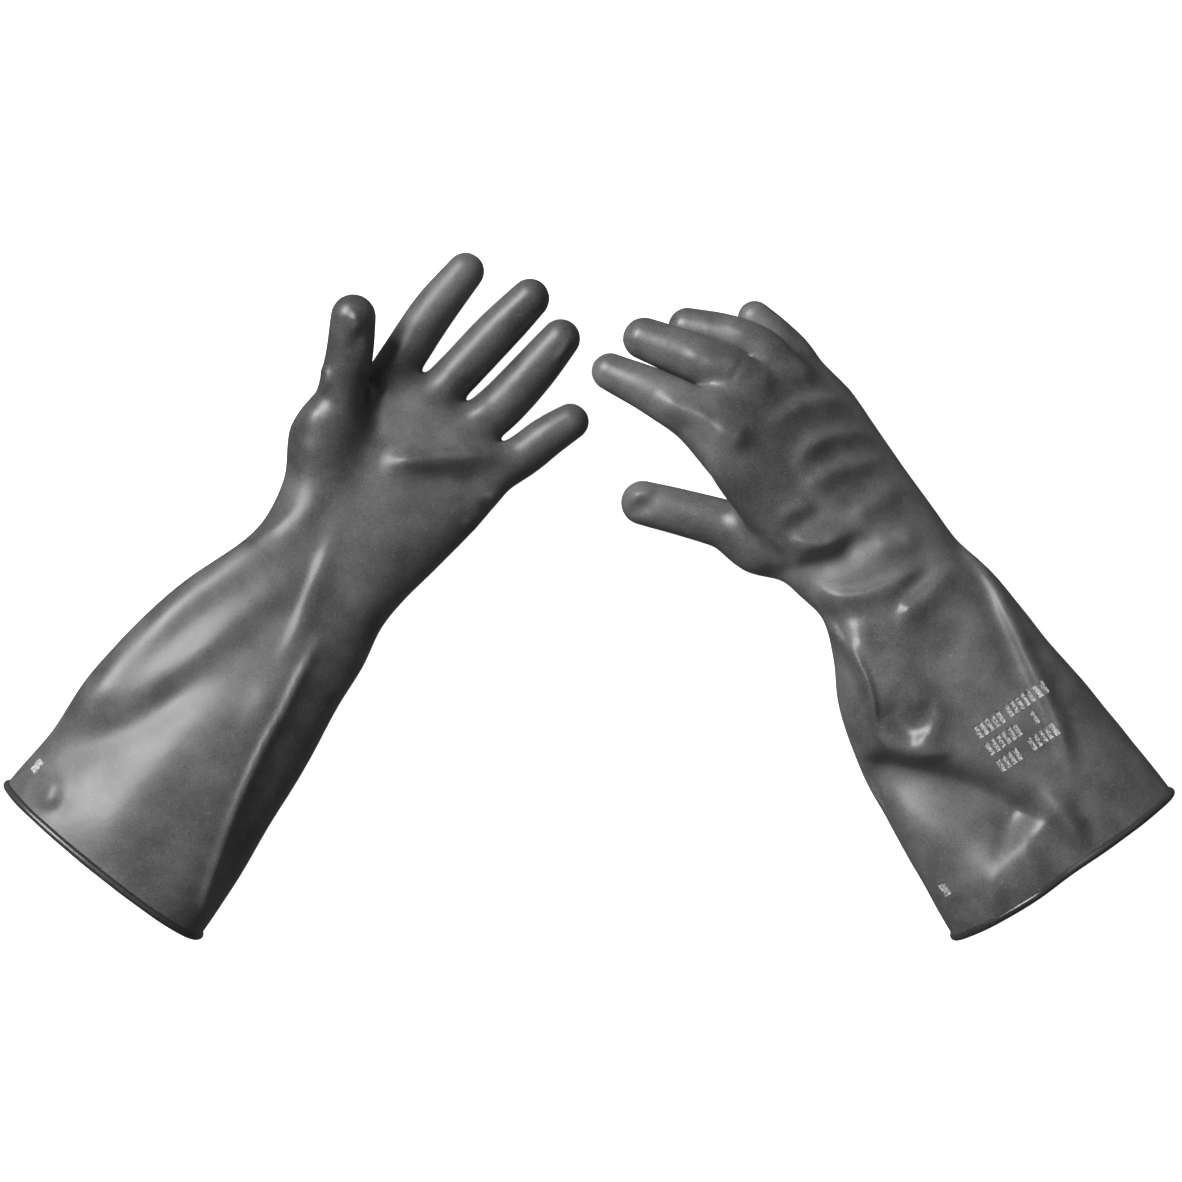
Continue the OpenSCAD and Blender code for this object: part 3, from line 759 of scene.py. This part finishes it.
def rubber(name, tint, dust, rough):
    """Dark moulded rubber with a dusty bloom in patches and clouds, fine grain and specks."""
    m = bpy.data.materials.new(name)
    m.use_nodes = True
    nodes, links = m.node_tree.nodes, m.node_tree.links
    shader = nodes["Principled BSDF"]
    place = nodes.new("ShaderNodeTexCoord")

    def noise(scale, detail, roughness=0.5, distortion=0.0):
        t = nodes.new("ShaderNodeTexNoise")
        t.inputs["Scale"].default_value = scale
        t.inputs["Detail"].default_value = detail
        t.inputs["Roughness"].default_value = roughness
        t.inputs["Distortion"].default_value = distortion
        links.new(place.outputs["Object"], t.inputs["Vector"])
        return t.outputs["Fac"]

    def ranged(value, from_min, from_max, to_min, to_max):
        r = nodes.new("ShaderNodeMapRange")
        r.inputs["From Min"].default_value = from_min
        r.inputs["From Max"].default_value = from_max
        r.inputs["To Min"].default_value = to_min
        r.inputs["To Max"].default_value = to_max
        links.new(value, r.inputs["Value"])
        return r.outputs["Result"]

    def maths(op, a, b):
        k = nodes.new("ShaderNodeMath")
        k.operation = op
        for i, v in enumerate((a, b)):
            if isinstance(v, (int, float)):
                k.inputs[i].default_value = v
            else:
                links.new(v, k.inputs[i])
        return k.outputs[0]

    patches = ranged(noise(14, detail=3, roughness=0.55, distortion=0.4), 0.38, 0.68, 0.0, 1.0)
    grain = noise(1500, detail=2, roughness=0.6)
    speck = ranged(noise(620, detail=1.5), 0.66, 0.78, 0.0, 1.0)
    cloud = noise(55, detail=4, roughness=0.6)
    mix = nodes.new("ShaderNodeMix")
    mix.data_type = "RGBA"
    clean = 0.8
    mix.inputs["A"].default_value = (*[c * clean for c in tint], 1)
    mix.inputs["B"].default_value = (*[c * (1 + dust) for c in tint], 1)
    # how much bloom lies on the rubber
    amount = maths("ADD", maths("MULTIPLY", patches, 0.55), ranged(cloud, *NOISE_BAND, 0.0, 0.35))
    amount = maths("ADD", amount, ranged(grain, *NOISE_BAND, -0.25, 0.25))
    amount = maths("ADD", amount, maths("MULTIPLY", speck, 0.6))
    links.new(amount, mix.inputs["Factor"])
    links.new(mix.outputs["Result"], shader.inputs["Base Color"])
    # the bloom is duller than the clean rubber
    r = ranged(patches, 0, 1, rough - 0.03, rough + 0.09)
    r = maths("ADD", r, maths("MULTIPLY", cloud, 0.06))
    r = maths("ADD", r, ranged(grain, *NOISE_BAND, -0.03, 0.03))
    links.new(r, shader.inputs["Roughness"])
    height = maths("ADD", maths("MULTIPLY", grain, 0.35), maths("MULTIPLY", cloud, 2.2))
    height = maths("ADD", height, maths("MULTIPLY", noise(260, detail=2), 0.5))
    bump = nodes.new("ShaderNodeBump")
    bump.inputs["Strength"].default_value = 0.35
    bump.inputs["Distance"].default_value = 0.0002
    links.new(height, bump.inputs["Height"])
    links.new(bump.outputs["Normal"], shader.inputs["Normal"])
    shader.inputs["Specular IOR Level"].default_value = 0.6
    return m


def ink(name):
    """Pale print, worn through to the dark rubber in specks."""
    m = bpy.data.materials.new(name)
    m.use_nodes = True
    nodes, links = m.node_tree.nodes, m.node_tree.links
    shader = nodes["Principled BSDF"]
    place = nodes.new("ShaderNodeTexCoord")
    t = nodes.new("ShaderNodeTexNoise")
    t.inputs["Scale"].default_value = 900
    t.inputs["Detail"].default_value = 3
    links.new(place.outputs["Object"], t.inputs["Vector"])
    ramp = nodes.new("ShaderNodeValToRGB")
    ramp.color_ramp.elements[0].position = 0.40
    ramp.color_ramp.elements[0].color = (0.10, 0.10, 0.105, 1)
    ramp.color_ramp.elements[1].position = 0.52
    ramp.color_ramp.elements[1].color = (0.5, 0.5, 0.5, 1)
    links.new(t.outputs["Fac"], ramp.inputs["Fac"])
    links.new(ramp.outputs["Color"], shader.inputs["Base Color"])
    shader.inputs["Roughness"].default_value = 0.6
    return m


def ordered_ring(verts, quads, on_rim):
    """The rim's points in order round the mouth."""
    edges = np.concatenate([quads[:, [i, (i + 1) % 4]] for i in range(4)])
    n = len(verts)
    lone = edges[~np.isin(edges[:, 0] * n + edges[:, 1], edges[:, 1] * n + edges[:, 0])]
    lone = lone[on_rim[lone].all(1)]
    after = dict(map(tuple, lone))
    start = lone[0, 0]
    ring, at = [start], after[start]
    while at != start:
        ring.append(at)
        at = after[at]
    return np.array(ring)


def bead(glove, name, path, material):
    """The rolled edge: a round bead swept round the mouth."""
    closed = np.vstack([path, path[:1]])
    run = np.concatenate([[0], np.cumsum(np.linalg.norm(np.diff(closed, axis=0), axis=1))])
    count, sides, softening_turns = 320, 14, 6
    s = np.linspace(0, run[-1], count, endpoint=False)
    p = np.column_stack([np.interp(s, run, closed[:, i]) for i in range(3)])
    for _ in range(softening_turns):
        p = (np.roll(p, 1, 0) + 2 * p + np.roll(p, -1, 0)) / 4
    way = np.roll(p, -1, 0) - np.roll(p, 1, 0)
    way /= np.linalg.norm(way, axis=1)[:, None]
    along = np.array([0.0, 1.0, 0.0])
    out = np.cross(way, along)
    out /= np.linalg.norm(out, axis=1)[:, None]
    centre_x, centre_z = p[:, 0].mean(), p[:, 2].mean()
    away = (p[:, 0] - centre_x) * out[:, 0] + (p[:, 2] - centre_z) * out[:, 2]
    out *= np.sign(away)[:, None]
    up = np.cross(out, way)
    turn = s / run[-1] * 2 * math.pi
    # a rolled edge is never quite even
    radius = BEAD_R * (1 + 0.03 * np.sin(5 * turn + 1) + 0.02 * np.sin(13 * turn))
    underside = 0.92
    centre = p - out * WALL * 0.5
    # the edge stays above the floor
    centre[:, 2] = np.maximum(centre[:, 2], BEAD_R + 0.1)
    rings = []
    for k in range(sides):
        a = 2 * math.pi * k / sides
        flat = underside if math.sin(a) < 0 else 1.0
        rings.append(centre + radius[:, None] * (out * math.cos(a) + up * math.sin(a) * flat))
    co = np.stack(rings, 1).reshape(-1, 3)
    i, k = np.meshgrid(np.arange(count), np.arange(sides), indexing="ij")
    i2, k2 = (i + 1) % count, (k + 1) % sides
    corners = [i * sides + k, i2 * sides + k, i2 * sides + k2, i * sides + k2]
    faces = np.stack(corners, -1).reshape(-1, 4)
    a, b, c = co[faces[0, 0]], co[faces[0, 1]], co[faces[0, 2]]
    if np.cross(b - a, c - a) @ (a - centre[0]) < 0:
        faces = faces[:, ::-1]
    return mesh_piece(name, glove.world(co), faces, material)


def printed(glove, name, blocks, tree, material):
    """Thin ink blocks that follow the skin. A block is x, y, length, height."""
    all_co, all_faces, base = [], [], 0
    for x, y, w, h in blocks:
        nx, ny = (max(2, int(size / INK_SPACING) + 1) for size in (w, h))
        top, bottom = [], []
        for j in range(ny):
            for i in range(nx):
                px, py = x + w * i / (nx - 1), y + h * j / (ny - 1)
                hit, normal, _, _ = tree.ray_cast(Vector((px, py, ABOVE_ALL)), Vector((0, 0, -1)))
                top.append(hit + normal * INK_ABOVE)
                bottom.append(hit - normal * INK_BELOW)
        n = nx * ny
        idx = np.arange(n).reshape(ny, nx)
        a = np.stack([idx[:-1, :-1], idx[:-1, 1:], idx[1:, 1:], idx[1:, :-1]], -1).reshape(-1, 4)
        loop = np.concatenate([idx[0, :-1], idx[:-1, -1], idx[-1, :0:-1], idx[:0:-1, 0]])
        after = np.roll(loop, -1)
        side = np.column_stack([after, loop, loop + n, after + n])
        all_co += top + bottom
        all_faces.append(np.concatenate([a, a[:, ::-1] + n, side[:, ::-1]]) + base)
        base += 2 * n
    co = np.array([list(v) for v in all_co])
    return mesh_piece(name, glove.world(co), np.concatenate(all_faces), material)


def label_blocks():
    """One block for each letter of the printed rows."""
    blocks = []
    for y, words in LABEL_ROWS:
        for start, length in words:
            for k in range(round(length / LETTER_PITCH)):
                x = LABEL_X + start + k * LETTER_PITCH
                blocks.append((x, y, LETTER_LENGTH, LETTER_HEIGHT))
    return blocks


# The two gloves share one rubber but get different tints, the right lighter than the left: painted light,
# standing in for the key lamp being nearer the left glove.
RUBBER = {
    "left": rubber("left_rubber_painted_darker", (0.056, 0.056, 0.058), dust=1.5, rough=0.40),
    "right": rubber("right_rubber_painted_lighter", (0.074, 0.074, 0.076), dust=1.4, rough=0.36),
}
RIM = rubber("rolled_rim_rubber", (0.030, 0.030, 0.032), dust=0.8, rough=0.27)
INK = ink("worn_ink")

for side in ("left", "right"):
    glove = Glove(side)
    verts, quads, on_rim = skin(glove)
    numbers = piece_numbers(glove, verts)
    outer = detail(glove, verts, quads)
    normals = vertex_normals(outer, quads)
    inner = outer - normals * WALL
    inner[on_rim, 1] = glove.rim
    lowest = numbers[quads].min(1)
    cuff, palm = f"{side}_cuff", f"{side}_palm"

    def part(name, number):
        own = quads[lowest == number]
        return closed_piece(glove, name, outer, inner, normals, own, RUBBER[side])

    # the gauntlet
    skin_cuff = part(f"{side}_gauntlet_skin", GAUNTLET)
    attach(skin_cuff, cuff)
    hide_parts(f"{side}_gauntlet")
    # the hand
    hand = part(f"{side}_hand_skin", HAND)
    a, b = (Vector(glove.world([[0, y, WRIST_MID_Z]])[0]) for y in WRIST_BLEND)
    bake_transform(hand)
    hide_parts(f"{side}_hand", f"{side}_wrist_flex")
    # each digit's base and tip
    for i, d in enumerate(DIGITS):
        _, root, mid, _ = glove.paths[d]
        length = np.linalg.norm(mid - root)
        way = (mid - root) / length
        base = part(f"{side}_{d}_base_skin", base_number(i))
        bend = (ROOT_CUT[side][d] + ROOT_BEND_START, ROOT_BEND_END * length)
        a, b = (Vector(glove.world(root + way * s)[0]) for s in bend)
        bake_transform(base)
        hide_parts(f"{side}_{d}_knuckle_flex", f"{side}_{d}_base")
        end = part(f"{side}_{d}_tip_skin", tip_number(i))
        bend = (MIDDLE_BEND_START * length, length + MIDDLE_BEND_PAST)
        a, b = (Vector(glove.world(root + way * s)[0]) for s in bend)
        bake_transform(end)
        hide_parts(f"{side}_{d}_mid_flex", f"{side}_{d}_tip")
    # the rolled edge
    ring = ordered_ring(outer, quads, on_rim)
    roll = bead(glove, f"{side}_rolled_edge", outer[ring], RIM)
    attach(roll, cuff)
    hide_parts(f"{side}_cuff_bead")
    # the print
    tree = BVHTree.FromPolygons(outer.tolist(), quads.tolist())
    size_mark = printed(glove, f"{side}_size_mark_ink", [SIZE_MARK[side]], tree, INK)
    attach(size_mark, cuff)
    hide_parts(f"{side}_size_mark")
    if side == "right":
        label_ink = printed(glove, "right_label_ink", label_blocks(), tree, INK)
        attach(label_ink, cuff)
        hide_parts("right_label_bars")


def plain_floor():
    """A large pale sheet at floor level that gives off light, so that it comes out white."""
    mesh = bpy.data.meshes.new("studio_floor")
    r = FLOOR_HALF_M
    mesh.from_pydata([(-r, -r, 0), (r, -r, 0), (r, r, 0), (-r, r, 0)], [], [(0, 1, 2, 3)])
    o = bpy.data.objects.new("studio_floor", mesh)
    bpy.context.scene.collection.objects.link(o)
    m = bpy.data.materials.new("pale_floor")
    m.use_nodes = True
    nodes, links = m.node_tree.nodes, m.node_tree.links
    t = nodes.new("ShaderNodeTexNoise")
    t.inputs["Scale"].default_value = 3
    ramp = nodes.new("ShaderNodeValToRGB")
    ramp.color_ramp.elements[0].color = (0.86, 0.86, 0.86, 1)
    ramp.color_ramp.elements[1].color = (0.90, 0.90, 0.90, 1)
    shader = nodes["Principled BSDF"]
    links.new(t.outputs["Fac"], ramp.inputs["Fac"])
    links.new(ramp.outputs["Color"], shader.inputs["Base Color"])
    shader.inputs["Roughness"].default_value = 0.9
    shader.inputs["Emission Color"].default_value = (1, 1, 1, 1)
    shader.inputs["Emission Strength"].default_value = 1.0
    mesh.materials.append(m)
    o.visible_glossy = o.visible_diffuse = False


def area_light(name, place, width, height, power):
    """A rectangular light aimed at the middle of the pair."""
    light = bpy.data.lights.new(name, "AREA")
    light.shape = "RECTANGLE"
    light.size, light.size_y = width, height
    light.energy = power
    o = bpy.data.objects.new(name, light)
    bpy.context.scene.collection.objects.link(o)
    o.location = place
    o.rotation_mode = "QUATERNION"
    o.rotation_quaternion = (-Vector(place)).to_track_quat("-Z", "Y")


plain_floor()
area_light("key_softbox", (-1.45, 1.2, 1.65), width=1.3, height=1.0, power=84)
area_light("top_fill", (0.3, 0.4, 2.6), width=2.4, height=2.4, power=7)
world = bpy.data.worlds.new("studio")
world.use_nodes = True
background = world.node_tree.nodes["Background"]
background.inputs["Color"].default_value = (1, 1, 1, 1)
background.inputs["Strength"].default_value = WORLD_STRENGTH
bpy.context.scene.world = world
bpy.context.scene.view_settings.view_transform = "Standard"

camera = bpy.data.cameras.new("camera")
camera.lens, camera.sensor_width = LENS_MM, SENSOR_MM
camera_object = bpy.data.objects.new("camera", camera)
bpy.context.scene.collection.objects.link(camera_object)
camera_object.location = CAMERA_M
bpy.context.scene.camera = camera_object
